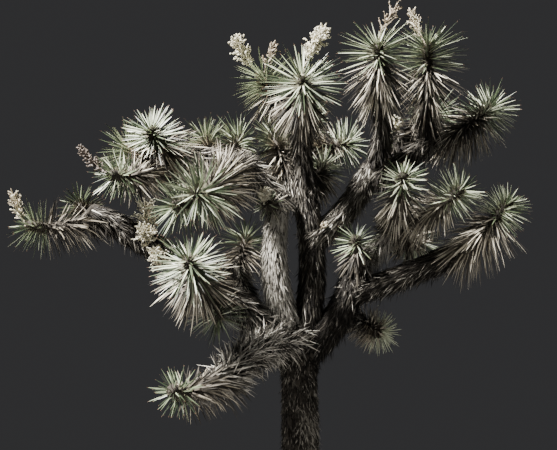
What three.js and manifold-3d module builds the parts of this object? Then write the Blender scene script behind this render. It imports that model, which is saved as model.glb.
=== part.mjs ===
// A Joshua tree, in millimetres with +Z up. The origin is the middle of the flat cut at ground level, and -Y
// is the side seen in front. A trunk forks into thick boughs, and heads of dagger leaves grow on from them.
import * as THREE from "three";
import Module from "manifold-3d";

const wasm = await Module();
wasm.setup();

// Driving sizes
const forkHeight = 1520; // from the ground to where the trunk divides
const forkLean = [-15, 0]; // how far the fork stands from straight above the foot
const trunkRadius = 152; // halfway up
const trunkTaper = 0.06; // share of the radius lost from the ground to the fork
const footFlare = 95; // added radius at the ground, where the roots begin
const footFlareHeight = 170; // height over which the flare dies away
const footLobes = 5; // root swellings round the foot
const lobeDepth = 0.35; // how much deeper the flare is on a swelling, as a share
const leafLength = 275; // a full-grown leaf, from its root to its spine
const headRadius = 42; // a stem near its growing tip, where the youngest leaves stand
const skirtLength = 540; // how far back from a full head's tip the leaves still stand off the stem
const facetLength = 62; // a leaf's root along the stem, wider than a living leaf's, as there are fewer
const clearance = 0.35; // the gap that neighbouring solids keep
const tipPlace = 0.94; // the place on a bough from which its tip's boughs and shoots carry on

const barkColour = 0x6b6258;
const leafColour = 0x8b9480;

// Boughs: name, parent, place on the parent from 0 at its root to 1 at its tip, the bough's own tip, how far its
// middle lies off the straight line, and its radius at the root and at the tip.
const boughs = [
  ["stem_main", "trunk", 0.97, [15, 0, 2940], [110, 35, 0], [124, 104]],
  ["bough_low_left", "stem_main", 0.1, [-580, -900, 1290], [-60, -30, 50], [122, 104]],
  ["bough_left", "trunk", 0.96, [-770, -350, 2010], [0, 20, 45], [118, 96]],
  ["bough_left_reach", "bough_left", tipPlace, [-1670, -500, 2570], [0, -40, 50], [94, 72]],
  ["bough_left_back", "bough_left", 0.5, [-560, 230, 2250], [0, 40, -20], [80, 64]],
  ["stem_left", "trunk", 0.97, [-150, -100, 2800], [-125, -40, 0], [134, 88]],
  ["bough_inner_left", "stem_left", tipPlace, [-490, -200, 3030], [-20, 0, 50], [84, 76]],
  ["bough_upper_left", "bough_inner_left", tipPlace, [-1090, -350, 3020], [0, 0, 50], [74, 64]],
  ["bough_upper_left_front", "bough_inner_left", tipPlace, [-560, -720, 2840], [0, -40, 60], [72, 62]],
  ["bough_upper_left_back", "bough_inner_left", tipPlace, [-740, 350, 3180], [0, 40, -30], [72, 60]],
  ["bough_top", "stem_main", tipPlace, [10, -200, 3420], [10, 30, 0], [94, 76]],
  ["bough_top_back", "stem_main", tipPlace, [100, 850, 3600], [0, 60, -60], [84, 64]],
  ["bough_upper_right", "stem_main", 0.66, [650, 100, 3090], [20, 30, -70], [88, 86]],
  ["bough_right_top_front", "bough_upper_right", tipPlace, [720, -200, 3420], [20, 30, 0], [78, 68]],
  ["bough_right_top", "bough_upper_right", tipPlace, [1150, 0, 3330], [0, 0, -40], [82, 72]],
  ["bough_right_top_back", "bough_upper_right", tipPlace, [1050, 850, 3650], [0, 60, -60], [78, 62]],
  ["bough_right", "trunk", 0.95, [500, 100, 2200], [70, -30, -50], [112, 98]],
  ["bough_right_reach", "bough_right", 0.74, [1280, -100, 2290], [20, 0, -10], [78, 82]],
  ["bough_right_low", "bough_right", 0.5, [570, 250, 1740], [20, 0, 20], [66, 54]],
  ["bough_mid_right", "bough_right", tipPlace, [830, 0, 2600], [10, 0, 10], [78, 66]],
].map(([name, parent, at, end, bow, girth]) => ({ name, parent, at, end, bow, girth }));

// Heads of leaves: name, the bough whose tip the head grows from, its growing tip, its size beside a full
// head's, and the reach of its flower spike, where it has one.
const heads = [
  ["head_low_left", "bough_low_left", [-880, -1300, 1240], 0.78],
  ["head_left_end", "bough_left_reach", [-2110, -650, 2440], 0.82, [-150, 50, 270]],
  ["head_left_crook", "bough_left_reach", [-1840, -250, 2700], 0.7],
  ["head_left_front", "bough_left", [-810, -1100, 2120], 1.05],
  ["head_left_under", "bough_left", [-645, -400, 1740], 0.8],
  ["head_left_back", "bough_left_back", [-480, 500, 2540], 0.85],
  ["head_upper_left_front", "bough_upper_left", [-1180, -700, 3190], 1.05],
  ["head_upper_left_far", "bough_upper_left", [-1480, -100, 3210], 0.85],
  ["head_upper_left_low", "bough_upper_left", [-1470, -700, 2830], 0.85, [-300, 100, 260]],
  ["head_inner_left_front", "bough_upper_left_front", [-770, -1150, 2580], 1.05],
  ["head_inner_left_side", "bough_upper_left_front", [-930, -1000, 2520], 0.9],
  ["head_left_stem_bud", "stem_left", [-290, -290, 2690], 0.4, [0, -30, 90]],
  ["head_back_left", "bough_upper_left_back", [-900, 700, 3550], 0.95],
  ["head_back_left_inner", "bough_upper_left_back", [-550, 500, 3490], 1.0],
  ["head_back_left_far", "bough_upper_left_back", [-1100, 900, 3240], 0.95],
  ["head_top_front", "bough_top", [10, -700, 3610], 1.08, [180, 0, 440]],
  ["head_top_left", "bough_top", [-320, -150, 3850], 1.0, [-250, -60, 330]],
  ["head_top_back", "bough_top_back", [60, 1250, 3950], 1.0],
  ["head_back_right_inner", "bough_top_back", [540, 900, 3560], 0.95],
  ["head_top_middle_back", "stem_main", [-230, 480, 3520], 1.05],
  ["head_behind_stem", "stem_main", [250, 400, 3200], 0.75],
  ["head_right_top_front", "bough_right_top_front", [630, -600, 3930], 1.08, [190, 100, 430]],
  ["head_right_top", "bough_right_top", [1100, -300, 4070], 1.05, [-140, 0, 330]],
  ["head_right_side", "bough_right_top", [1760, 100, 3670], 1.05],
  ["head_right_fork_bud", "bough_upper_right", [800, 40, 3330], 0.35, [60, 0, 190]],
  ["head_right_back", "bough_right_top_back", [1500, 1200, 4000], 1.0],
  ["head_right_reach", "bough_right_reach", [1720, -300, 2700], 1.05],
  ["head_right_low", "bough_right_low", [740, 320, 1650], 0.72],
  ["head_mid_right_front", "bough_mid_right", [820, -500, 2880], 0.85],
  ["head_mid_right_side", "bough_mid_right", [1330, -350, 2800], 1.0],
  ["head_mid_right_under", "bough_mid_right", [1100, 400, 2470], 0.8],
  ["head_right_fork", "bough_right", [470, -150, 2430], 0.75],
].map(([name, bough, tip, size, bloom]) => ({ name, bough, tip, size, bloom }));

// The same share between 0 and 1 every time for the same pair of whole numbers.
function chance(seed, number) {
  const wave = Math.sin(seed * 78.233 + number * 12.9898) * 43758.5453;
  return wave - Math.floor(wave);
}

// The middle of a facet.
function middleOf(corners) {
  return corners[0].clone().add(corners[1]).add(corners[2]).divideScalar(3);
}

// A curve from start to end whose middle lies off the straight line by bow. It lies in one plane, and side
// stands square to that plane.
function bowedPath(start, end, bow) {
  const control = start.clone().add(end).multiplyScalar(0.5).addScaledVector(bow, 2);
  const path = new THREE.QuadraticBezierCurve3(start, control, end);
  path.side = end.clone().sub(start).cross(bow.lengthSq() ? bow : new THREE.Vector3(0, 1, 0)).normalize();
  return path;
}

// A closed solid from three corner numbers for each face.
function solidOf(places, faces) {
  const vertProperties = new Float32Array(places.flatMap(({ x, y, z }) => [x, y, z]));
  const triVerts = new Uint32Array(faces.flat());
  return new wasm.Manifold(new wasm.Mesh({ numProp: 3, vertProperties, triVerts }));
}

// A closed solid of rings of points round a path, each ring turned half a facet on from the last. radiusAt
// takes the share of the length and the angle round it. grow widens and lengthens the whole, for the space that
// neighbours are cut clear of. drawnOut gives the point that a facet is drawn out to, or nothing if it is flat.
function ringed(path, shares, sides, radiusAt, grow = 0, drawnOut = () => null) {
  const places = [];
  const facets = [];
  const middle = (share) => {
    const past = share === 0 ? -grow : share === 1 ? grow : 0;
    return path.getPointAt(share).addScaledVector(path.getTangentAt(share), past);
  };
  shares.forEach((share, ring) => {
    const across = path.getTangentAt(share).cross(path.side);
    for (let j = 0; j < sides; j++) {
      const angle = ((j + ring / 2) * 2 * Math.PI) / sides;
      const radius = radiusAt(share, angle) + grow;
      const place = middle(share).addScaledVector(path.side, radius * Math.cos(angle));
      places.push(place.addScaledVector(across, radius * Math.sin(angle)));
    }
  });
  const last = (shares.length - 1) * sides;
  const foot = places.push(middle(0)) - 1;
  const tip = places.push(middle(1)) - 1;
  for (let j = 0; j < sides; j++) {
    const next = (j + 1) % sides;
    facets.push([foot, next, j]);
    for (let ring = 0; ring < last; ring += sides) {
      facets.push([ring + j, ring + next, ring + sides + j]);
      facets.push([ring + sides + j, ring + next, ring + sides + next]);
    }
    facets.push([last + j, last + next, tip]);
  }
  const faces = facets.flatMap(([a, b, c], number) => {
    const point = drawnOut([places[a], places[b], places[c]], number);
    if (!point) return [[a, b, c]];
    const d = places.push(point) - 1;
    return [[a, b, d], [b, c, d], [c, a, d]];
  });
  return solidOf(places, faces);
}

// What is already standing, by name: each limb's path, its solid, and the space that others keep out of.
const standing = new Map();

function boxesMeet(one, other) {
  const a = one.boundingBox();
  const b = other.boundingBox();
  return [0, 1, 2].every((axis) => a.min[axis] < b.max[axis] && b.min[axis] < a.max[axis]);
}

// The largest piece of a solid once the spaces that it reaches into are cut away.
function cutClear(solid, spaces) {
  const left = spaces.reduce((rest, space) => (boxesMeet(space, rest) ? rest.subtract(space) : rest), solid);
  return left.decompose().sort((a, b) => b.volume() - a.volume())[0].simplify(0.1);
}

function addLimb(name, path, shares, sides, radiusAt, trim = (solid) => solid) {
  const spaces = [...standing.values()].map(({ space }) => space);
  const solid = cutClear(trim(ringed(path, shares, sides, radiusAt)), spaces);
  standing.set(name, { path, solid, space: ringed(path, shares, sides, radiusAt, clearance) });
}

// Evenly spaced shares of a length from 0 to 1, with one more close to each end, where a limb rounds off.
function roundedShares(steps, endShare) {
  const shareAt = (step) => THREE.MathUtils.lerp(endShare, 1 - endShare, step / steps);
  return [0, ...Array.from({ length: steps + 1 }, (_, step) => shareAt(step)), 1];
}

// The trunk: a flared and lobed foot, cut flat at the ground, and a swelling where the boughs leave it.
function makeTrunk() {
  const buried = 60; // below the cut, and trimmed away
  const swelling = 26; // added radius at the fork
  const shoulder = 0.7; // the last ring's share of the radius
  const steps = 10;
  const path = bowedPath(
    new THREE.Vector3(0, 0, -buried),
    new THREE.Vector3(forkLean[0], forkLean[1], forkHeight),
    new THREE.Vector3(8, 0, 0),
  );
  const radiusAt = (share, angle) => {
    const height = share * (forkHeight + buried) - buried;
    const flare = footFlare * Math.exp(-Math.max(height, 0) / footFlareHeight);
    const swell = swelling * THREE.MathUtils.smoothstep(share, 0.84, 0.96);
    const straight = trunkRadius * (1 + trunkTaper * (0.5 - share)) + swell;
    return straight * (share === 1 ? shoulder : 1) + flare * (1 + lobeDepth * Math.cos(footLobes * angle));
  };
  const shares = roundedShares(steps, 0.03);
  addLimb("trunk", path, shares, 15, radiusAt, (solid) => solid.trimByPlane([0, 0, 1], 0));
}

// A bough: one tapering limb from its parent's middle to a rounded tip. It has a collar where it leaves the
// parent's side, and none where it only carries on from the parent's tip.
const endRing = 0.62; // an end ring's share of the radius
const endLength = 0.45; // how far a limb's end is rounded, as a share of its radius
function makeBough({ name, parent, at, end, bow, girth }) {
  const start = standing.get(parent).path.getPointAt(at);
  const path = bowedPath(start, new THREE.Vector3(...end), new THREE.Vector3(...bow));
  const length = path.getLength();
  const collar = parent === "trunk" || at < tipPlace ? 0.2 : 0; // added share of the radius at the root
  const collarLength = 150;
  const radiusAt = (share) => {
    const swell = 1 + collar * Math.exp((-share * length) / collarLength);
    return THREE.MathUtils.lerp(...girth, share) * swell * (share === 0 || share === 1 ? endRing : 1);
  };
  addLimb(name, path, roundedShares(4, (endLength * girth[1]) / length), 8, radiusAt);
}

// Each shoot: the stem that runs on from a bough's tip, how far back from the growing tip its leaves stand off,
// and the rings of its leafy part, a leaf's root apart.
const stemSides = 7;
const upturn = 0.1; // how far a stem sags, as a share of its length, so that its tip turns up
const rootGirth = 0.88; // a stem's radius at its root beside its bough's tip
const shoots = [];
function planShoot(head, index) {
  const start = standing.get(head.bough).path.getPointAt(tipPlace);
  const end = new THREE.Vector3(...head.tip);
  const path = bowedPath(start, end, new THREE.Vector3(0, 0, -upturn * start.distanceTo(end)));
  const length = path.getLength();
  const skirt = Math.min(0.9 * length, skirtLength * head.size);
  const rootRadius = rootGirth * boughs.find(({ name }) => name === head.bough).girth[1];
  const radiusAt = (share) => {
    const filled = THREE.MathUtils.smoothstep((1 - share) * length, 0, skirt);
    return THREE.MathUtils.lerp(headRadius, rootRadius, filled) * (share === 0 || share === 1 ? endRing : 1);
  };
  const bare = 1 - skirt / length; // the share of the stem before its skirt
  const leafy = Math.round(skirt / facetLength);
  const leafyShares = Array.from({ length: leafy + 1 }, (_, i) => THREE.MathUtils.lerp(bare, 1, i / leafy));
  const shares = [0, Math.min((endLength * rootRadius) / length, 0.5 * bare), ...leafyShares];
  const marks = [0.3, 0.5, 0.65, 0.8, 0.9, 1].map((share) => path.getPointAt(share));
  shoots.push({ ...head, path, length, skirt, marks, radiusAt, shares, seed: index + 1 });
}

// The stems and flower spikes of all shoots take their places before any leaf grows.
function takePlace(shoot) {
  const { path, shares, radiusAt } = shoot;
  shoot.taken = [...standing.values()].map(({ space }) => space);
  standing.set(shoot.name, { path, space: ringed(path, shares, stemSides, radiusAt, clearance) });
  if (shoot.bloom) shoot.spike = bloomSolid(shoot);
}

// The distance from a point to a shoot, measured to points along its stem.
function distanceTo(point, shoot) {
  return Math.min(...shoot.marks.map((mark) => mark.distanceTo(point)));
}

// A shoot keeps a leaf only where it is nearer to its own stem than to any other, and clear of all that stands.
function staysClear(shoot, corners, spine) {
  const margin = 30; // how much nearer another stem may be
  const root = middleOf(corners);
  for (const share of [0.5, 0.75, 1]) {
    const point = root.clone().lerp(spine, share);
    const own = distanceTo(point, shoot) - margin;
    if (shoots.some((other) => other !== shoot && distanceTo(point, other) < own)) return false;
  }
  const leaf = wasm.Manifold.hull([...corners, spine].map(({ x, y, z }) => [x, y, z]));
  const touches = (solid) => boxesMeet(solid, leaf) && solid.minGap(leaf, clearance) < clearance;
  const others = shoots.filter((other) => other !== shoot).flatMap(({ solid, spike }) => [solid, spike]);
  const stems = [...standing].filter(([name]) => name !== shoot.name).map(([, { space }]) => space);
  return ![...others.filter(Boolean), ...stems].some(touches);
}

// The leaf rule: which way a leaf points that is rooted some way back along the skirt, on the outward side of
// its stem. It opens from nearly straight on at the growing tip to swept back at the end of the skirt. The dead
// leaves there hang, and those above the stem lie on it.
const skirtDroop = 0.55; // how strongly the last leaves hang
const lowestRise = 0.15; // how far a leaf still stands off its stem
function leafDirection(along, outward, backShare, sway) {
  const opening = THREE.MathUtils.degToRad(14 + 125 * backShare ** 0.35) + sway;
  const direction = along.clone().multiplyScalar(Math.cos(opening));
  direction.addScaledVector(outward, Math.sin(opening)).add({ x: 0, y: 0, z: -skirtDroop * backShare });
  direction.addScaledVector(outward, Math.max(0, lowestRise - direction.dot(outward)));
  return direction.normalize();
}

// The spine of the leaf drawn out from one facet of a shoot's stem, or nothing where no leaf can stand. A leaf
// is full length where there is room and shorter where there isn't.
function leafSpine(shoot, corners, number) {
  const [leastKept, turn, sway] = [0.45, 0.3, 0.12]; // a share of facets, and two angles in radians
  const root = middleOf(corners);
  const share = nearestShare(shoot.path, root);
  const backShare = ((1 - share) * shoot.length) / shoot.skirt;
  const kept = THREE.MathUtils.lerp(1, leastKept, backShare); // the share of facets that carry a leaf
  if (backShare > 1 || chance(shoot.seed, number) > kept) return null;
  const along = shoot.path.getTangentAt(share);
  const outward = root.clone().sub(shoot.path.getPointAt(share)).projectOnPlane(along).normalize();
  outward.applyAxisAngle(along, turn * (chance(shoot.seed + 1, number) - 0.5));
  const direction = leafDirection(along, outward, backShare, sway * (chance(shoot.seed + 2, number) - 0.5));
  const full = leafLength * shoot.size * THREE.MathUtils.lerp(0.84, 1.08, chance(shoot.seed + 3, number));
  const spines = [1, 0.8, 0.62].map((part) => root.clone().addScaledVector(direction, full * part));
  return spines.find((spine) => staysClear(shoot, corners, spine)) ?? null;
}

// The share of a path's length at which it passes nearest to a point.
function nearestShare(path, point) {
  const shares = Array.from({ length: 81 }, (_, i) => i / 80);
  const gaps = shares.map((share) => path.getPointAt(share).distanceTo(point));
  return shares[gaps.indexOf(Math.min(...gaps))];
}

// A flower spike: a stalk that swells into a spindle, with a bud drawn out from each of its facets.
function bloomSolid(shoot) {
  const tip = shoot.path.getPointAt(1);
  const reach = new THREE.Vector3(...shoot.bloom);
  const sunk = 45; // how far inside the growing tip the stalk starts
  const size = THREE.MathUtils.clamp(reach.length() / 320, 0.5, 1);
  const [stalk, spindle, bud] = [14, 55 * size, 48 * size]; // radii, and how far a bud stands out
  const start = tip.clone().sub(reach.clone().setLength(sunk));
  const path = bowedPath(start, tip.clone().add(reach), new THREE.Vector3());
  const bare = 0.4; // the share of the spike that is only stalk
  const radiusAt = (share) => {
    const swell = THREE.MathUtils.clamp((share - bare + 0.1) / (1.06 - bare), 0, 1);
    return Math.max(stalk, spindle * Math.sin(Math.PI * swell));
  };
  const budAt = (corners) => {
    const root = middleOf(corners);
    const share = nearestShare(path, root);
    if (share < bare) return null;
    const below = path.getPointAt(share - 0.06);
    return root.clone().add(root.clone().sub(below).setLength(bud));
  };
  const shares = [0, ...Array.from({ length: 5 }, (_, i) => THREE.MathUtils.lerp(bare, 1, i / 4))];
  return ringed(path, shares, 5, radiusAt, 0, budAt);
}

// One shoot: its stem with a leaf drawn out from each facet that has room, fused with its flower spike.
function growShoot(shoot) {
  const { path, shares, radiusAt, taken } = shoot;
  const spineOf = (corners, number) => leafSpine(shoot, corners, number);
  const leafed = ringed(path, shares, stemSides, radiusAt, 0, spineOf);
  shoot.solid = cutClear(shoot.spike ? leafed.add(shoot.spike) : leafed, taken);
}

// A solid as a named mesh.
function meshOf(name, solid, material) {
  const { numProp, numVert, vertProperties, triVerts } = solid.getMesh();
  const places = new Float32Array(numVert * 3);
  for (let i = 0; i < numVert; i++) places.set(vertProperties.subarray(i * numProp, i * numProp + 3), i * 3);
  const shape = new THREE.BufferGeometry().setAttribute("position", new THREE.BufferAttribute(places, 3));
  shape.setIndex(new THREE.BufferAttribute(triVerts, 1)).computeVertexNormals();
  const mesh = new THREE.Mesh(shape, material);
  mesh.name = name;
  return mesh;
}

const bark = new THREE.MeshStandardMaterial({ color: barkColour, roughness: 0.95, metalness: 0 });
const leaf = new THREE.MeshStandardMaterial({ color: leafColour, roughness: 0.5, metalness: 0 });

makeTrunk();
boughs.forEach(makeBough);
const limbs = [...standing].map(([name, { solid }]) => meshOf(name, solid, bark));
heads.forEach(planShoot);
shoots.forEach(takePlace);
shoots.forEach(growShoot);

const tree = new THREE.Group();
tree.add(...limbs, ...shoots.map(({ name, solid }) => meshOf(name, solid, leaf)));
export default tree;
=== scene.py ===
# A Joshua tree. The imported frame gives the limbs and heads; this grows their bark, leaves and flowers.
import math

import bmesh
import bpy
import numpy as np
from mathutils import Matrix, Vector


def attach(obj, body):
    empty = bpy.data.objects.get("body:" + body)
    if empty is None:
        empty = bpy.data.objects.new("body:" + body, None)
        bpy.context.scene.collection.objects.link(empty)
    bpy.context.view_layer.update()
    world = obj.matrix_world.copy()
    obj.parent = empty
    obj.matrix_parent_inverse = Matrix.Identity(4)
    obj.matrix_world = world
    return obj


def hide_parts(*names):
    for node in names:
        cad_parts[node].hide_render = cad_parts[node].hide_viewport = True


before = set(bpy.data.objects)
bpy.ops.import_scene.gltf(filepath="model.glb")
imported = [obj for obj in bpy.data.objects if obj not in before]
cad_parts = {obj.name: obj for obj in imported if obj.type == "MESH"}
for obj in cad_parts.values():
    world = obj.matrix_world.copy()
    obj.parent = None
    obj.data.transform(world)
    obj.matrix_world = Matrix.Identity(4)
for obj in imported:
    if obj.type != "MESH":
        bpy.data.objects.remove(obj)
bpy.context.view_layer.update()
print("frame loaded:", len(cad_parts), "nodes")


def addObject(name, data):
    thing = bpy.data.objects.new(name, data)
    bpy.context.scene.collection.objects.link(thing)
    return thing


# Camera: in front, a little to the left, tilted up at the crown
cameraView = {
    "place": (-0.18, -6.0, 1.5),
    "tiltUp": 10,  # degrees
    "focalLength": 707,  # in the picture's own pixels
    "frameWidth": 557,
    "sensorWidth": 36,
    "farthest": 100,
}
cameraData = bpy.data.cameras.new("camera")
cameraData.sensor_width = cameraView["sensorWidth"]
cameraData.lens = cameraView["focalLength"] / cameraView["frameWidth"] * cameraView["sensorWidth"]
cameraData.clip_end = cameraView["farthest"]
camera = addObject("camera", cameraData)
camera.location = cameraView["place"]
camera.rotation_euler = (math.radians(90 + cameraView["tiltUp"]), 0, 0)
bpy.context.scene.camera = camera

# The tree's own sizes, the same as the frame's, in millimetres
mm = 0.001
tree = {
    "forkHeight": 1520,
    "forkLean": (-15, 0),
    "trunkBow": (8, 0, 0),
    "trunkRadius": 152,
    "trunkTaper": 0.06,
    "footFlare": 95,
    "footFlareHeight": 170,
    "footLobes": 5,
    "lobeDepth": 0.35,
    "buried": 60,  # the trunk's path starts this far below the ground, its bark at the ground
    "swelling": 26,  # where the boughs leave it
    "swellingSpan": (0.84, 0.96),  # shares of its length
    "closing": 0.3,  # how much the top narrows
    "closingSpan": (0.965, 1),
    "collar": 0.2,  # how much thicker a bough is where it leaves a thicker limb
    "collarLength": 150,
    "leafLength": 275,
    "headRadius": 42,
    "skirtLength": 540,
    "fullestSkirt": 0.9,  # of a shoot's length
    "tipPlace": 0.94,  # where on a bough its tip's boughs and shoots carry on
    "upturn": 0.1,
    "rootGirth": 0.88,
    "tipOpening": 14,  # degrees between a leaf and its shoot at the tip
    "skirtOpening": 125,  # degrees more at the skirt's lower end
    "openingPower": 0.35,
    "skirtDroop": 0.55,
    "lowestRise": 0.15,
}
tipPlace = tree["tipPlace"]

# Boughs: name, parent, place on the parent, tip, bow off the straight line, radius at root and tip
boughRows = [
    ("stem_main", "trunk", 0.97, (15, 0, 2940), (110, 35, 0), (124, 104)),
    ("bough_low_left", "stem_main", 0.1, (-580, -900, 1290), (-60, -30, 50), (122, 104)),
    ("bough_left", "trunk", 0.96, (-770, -350, 2010), (0, 20, 45), (118, 96)),
    ("bough_left_reach", "bough_left", tipPlace, (-1670, -500, 2570), (0, -40, 50), (94, 72)),
    ("bough_left_back", "bough_left", 0.5, (-560, 230, 2250), (0, 40, -20), (80, 64)),
    ("stem_left", "trunk", 0.97, (-150, -100, 2800), (-125, -40, 0), (134, 88)),
    ("bough_inner_left", "stem_left", tipPlace, (-490, -200, 3030), (-20, 0, 50), (84, 76)),
    ("bough_upper_left", "bough_inner_left", tipPlace, (-1090, -350, 3020), (0, 0, 50), (74, 64)),
    ("bough_upper_left_front", "bough_inner_left", tipPlace, (-560, -720, 2840), (0, -40, 60), (72, 62)),
    ("bough_upper_left_back", "bough_inner_left", tipPlace, (-740, 350, 3180), (0, 40, -30), (72, 60)),
    ("bough_top", "stem_main", tipPlace, (10, -200, 3420), (10, 30, 0), (94, 76)),
    ("bough_top_back", "stem_main", tipPlace, (100, 850, 3600), (0, 60, -60), (84, 64)),
    ("bough_upper_right", "stem_main", 0.66, (650, 100, 3090), (20, 30, -70), (88, 86)),
    ("bough_right_top_front", "bough_upper_right", tipPlace, (720, -200, 3420), (20, 30, 0), (78, 68)),
    ("bough_right_top", "bough_upper_right", tipPlace, (1150, 0, 3330), (0, 0, -40), (82, 72)),
    ("bough_right_top_back", "bough_upper_right", tipPlace, (1050, 850, 3650), (0, 60, -60), (78, 62)),
    ("bough_right", "trunk", 0.95, (500, 100, 2200), (70, -30, -50), (112, 98)),
    ("bough_right_reach", "bough_right", 0.74, (1280, -100, 2290), (20, 0, -10), (78, 82)),
    ("bough_right_low", "bough_right", 0.5, (570, 250, 1740), (20, 0, 20), (66, 54)),
    ("bough_mid_right", "bough_right", tipPlace, (830, 0, 2600), (10, 0, 10), (78, 66)),
]

# Heads: name, bough, growing tip, size beside a full head's, and the flower spike's reach and kind
headRows = [
    ("head_low_left", "bough_low_left", (-880, -1300, 1240), 0.78, None),
    ("head_left_end", "bough_left_reach", (-2110, -650, 2440), 0.82, ((-150, 50, 270), "feathery")),
    ("head_left_crook", "bough_left_reach", (-1840, -250, 2700), 0.7, None),
    ("head_left_front", "bough_left", (-810, -1100, 2120), 1.05, None),
    ("head_left_under", "bough_left", (-645, -400, 1740), 0.8, None),
    ("head_left_back", "bough_left_back", (-480, 500, 2540), 0.85, None),
    ("head_upper_left_front", "bough_upper_left", (-1180, -700, 3190), 1.05, None),
    ("head_upper_left_far", "bough_upper_left", (-1480, -100, 3210), 0.85, None),
    ("head_upper_left_low", "bough_upper_left", (-1470, -700, 2830), 0.85, ((-300, 100, 260), "old")),
    ("head_inner_left_front", "bough_upper_left_front", (-770, -1150, 2580), 1.05, None),
    ("head_inner_left_side", "bough_upper_left_front", (-930, -1000, 2520), 0.9, None),
    ("head_left_stem_bud", "stem_left", (-290, -290, 2690), 0.4, ((0, -30, 90), "fresh")),
    ("head_back_left", "bough_upper_left_back", (-900, 700, 3550), 0.95, None),
    ("head_back_left_inner", "bough_upper_left_back", (-550, 500, 3490), 1.0, None),
    ("head_back_left_far", "bough_upper_left_back", (-1100, 900, 3240), 0.95, None),
    ("head_top_front", "bough_top", (10, -700, 3610), 1.08, ((180, 0, 440), "fresh")),
    ("head_top_left", "bough_top", (-320, -150, 3850), 1.0, ((-250, -60, 330), "fresh")),
    ("head_top_back", "bough_top_back", (60, 1250, 3950), 1.0, None),
    ("head_back_right_inner", "bough_top_back", (540, 900, 3560), 0.95, None),
    ("head_top_middle_back", "stem_main", (-230, 480, 3520), 1.05, None),
    ("head_behind_stem", "stem_main", (250, 400, 3200), 0.75, None),
    ("head_right_top_front", "bough_right_top_front", (630, -600, 3930), 1.08, ((190, 100, 430), "dry")),
    ("head_right_top", "bough_right_top", (1100, -300, 4070), 1.05, ((-140, 0, 330), "feathery")),
    ("head_right_side", "bough_right_top", (1760, 100, 3670), 1.05, None),
    ("head_right_fork_bud", "bough_upper_right", (800, 40, 3330), 0.35, ((60, 0, 190), "fresh")),
    ("head_right_back", "bough_right_top_back", (1500, 1200, 4000), 1.0, None),
    ("head_right_reach", "bough_right_reach", (1720, -300, 2700), 1.05, None),
    ("head_right_low", "bough_right_low", (740, 320, 1650), 0.72, None),
    ("head_mid_right_front", "bough_mid_right", (820, -500, 2880), 0.85, None),
    ("head_mid_right_side", "bough_mid_right", (1330, -350, 2800), 1.0, None),
    ("head_mid_right_under", "bough_mid_right", (1100, 400, 2470), 0.8, None),
    ("head_right_fork", "bough_right", (470, -150, 2430), 0.75, None),
]
skirtShares = {"head_top_front": 0.56, "head_right_top_front": 0.64}  # skirts that end higher than the others

goldenAngle = math.pi * (3 - math.sqrt(5))


def unit(vectors):
    return vectors / np.maximum(np.linalg.norm(vectors, axis=-1, keepdims=True), 1e-9)


def column(numbers):
    return np.asarray(numbers, float)[:, None]


def between(low, high, part):
    return low + (high - low) * part


def smooth(x, low, high):
    t = np.clip((np.asarray(x, float) - low) / (high - low), 0, 1)
    return t * t * (3 - 2 * t)


def table(words, rows):
    # rows of values by name, each read by the words
    return {name: dict(zip(words.split(", "), row)) for name, row in rows.items()}


def bowedPath(start, end, bow):
    # a curve whose middle lies off the straight line by bow, read by the share of its length
    start, end, bow = (np.array(v, float) for v in (start, end, bow))
    control = (start + end) / 2 + 2 * bow
    t = np.linspace(0, 1, 201)[:, None]
    places = (1 - t) ** 2 * start + 2 * t * (1 - t) * control + t**2 * end
    run = np.concatenate([[0], np.cumsum(np.linalg.norm(np.diff(places, axis=0), axis=1))])
    side = unit(np.cross(end - start, bow if bow.any() else (0, 1, 0)))

    def at(share):
        length = np.clip(share, 0, 1) * run[-1]
        return np.stack([np.interp(length, run, places[:, axis]) for axis in range(3)], axis=-1)

    def along(share):
        u = np.interp(np.clip(share, 0, 1) * run[-1], run, t[:, 0])[..., None]
        return unit((1 - u) * (control - start) + u * (end - control))

    return {"at": at, "along": along, "length": run[-1], "side": side}


def around(path, share, angle):
    # the way out of a path, at an angle round it, and the way along it
    along = path["along"](share)
    across = np.cross(along, path["side"])
    return path["side"] * column(np.cos(angle)) + across * column(np.sin(angle)), along


# The coat of dead leaves on each kind of limb. Depth is how far it fills the wood out to the frame's radius,
# in millimetres like spacing and length. Lie is in radians off the wood, and strays stand off further.
coatKinds = table("depth, spacing, length, lie, hang, strays, sway", {
    "trunk": (7, 15, (35, 70), (0.12, 0.6), 0.2, 0.1, 0.4),
    "stem": (12, 17, (70, 130), (0.14, 0.42), 0.3, 0.06, 0.26),
    "thatched": (-6, 15, (70, 140), (0.12, 0.45), 0.2, 0.16, 0.26),
    "bough": (16, 17, (90, 180), (0.1, 0.4), 0.4, 0.2, 0.28),
    "shaggy": (20, 17, (110, 200), (0.2, 0.8), 0.4, 0.4, 0.4),
    "spiky": (34, 20, (100, 200), (0.2, 1.2), 0.0, 0.4, 1.1),
    "crown": (24, 18, (150, 260), (0.12, 0.5), 0.55, 0.3, 0.3),
    "swept": (18, 16, (130, 250), (0.1, 0.5), 0.12, 0.35, 0.4),
    "shoot": (14, 18, (150, 240), (0.12, 0.55), 0.55, 0.25, 0.2),
})
coatOf = {  # the boughs whose coat isn't a plain one
    "crown": ("bough_upper_left_front", "bough_upper_left_back", "bough_right_top", "bough_right_top_back",
              "bough_mid_right", "bough_top_back"),
    "swept": ("bough_inner_left", "bough_upper_left"),
    "thatched": ("bough_left_reach", "bough_right", "bough_right_reach", "bough_upper_right"),
    "shaggy": ("bough_left", "bough_left_back"),
    "spiky": ("bough_low_left",),
    "stem": ("stem_main", "stem_left"),
}


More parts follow.
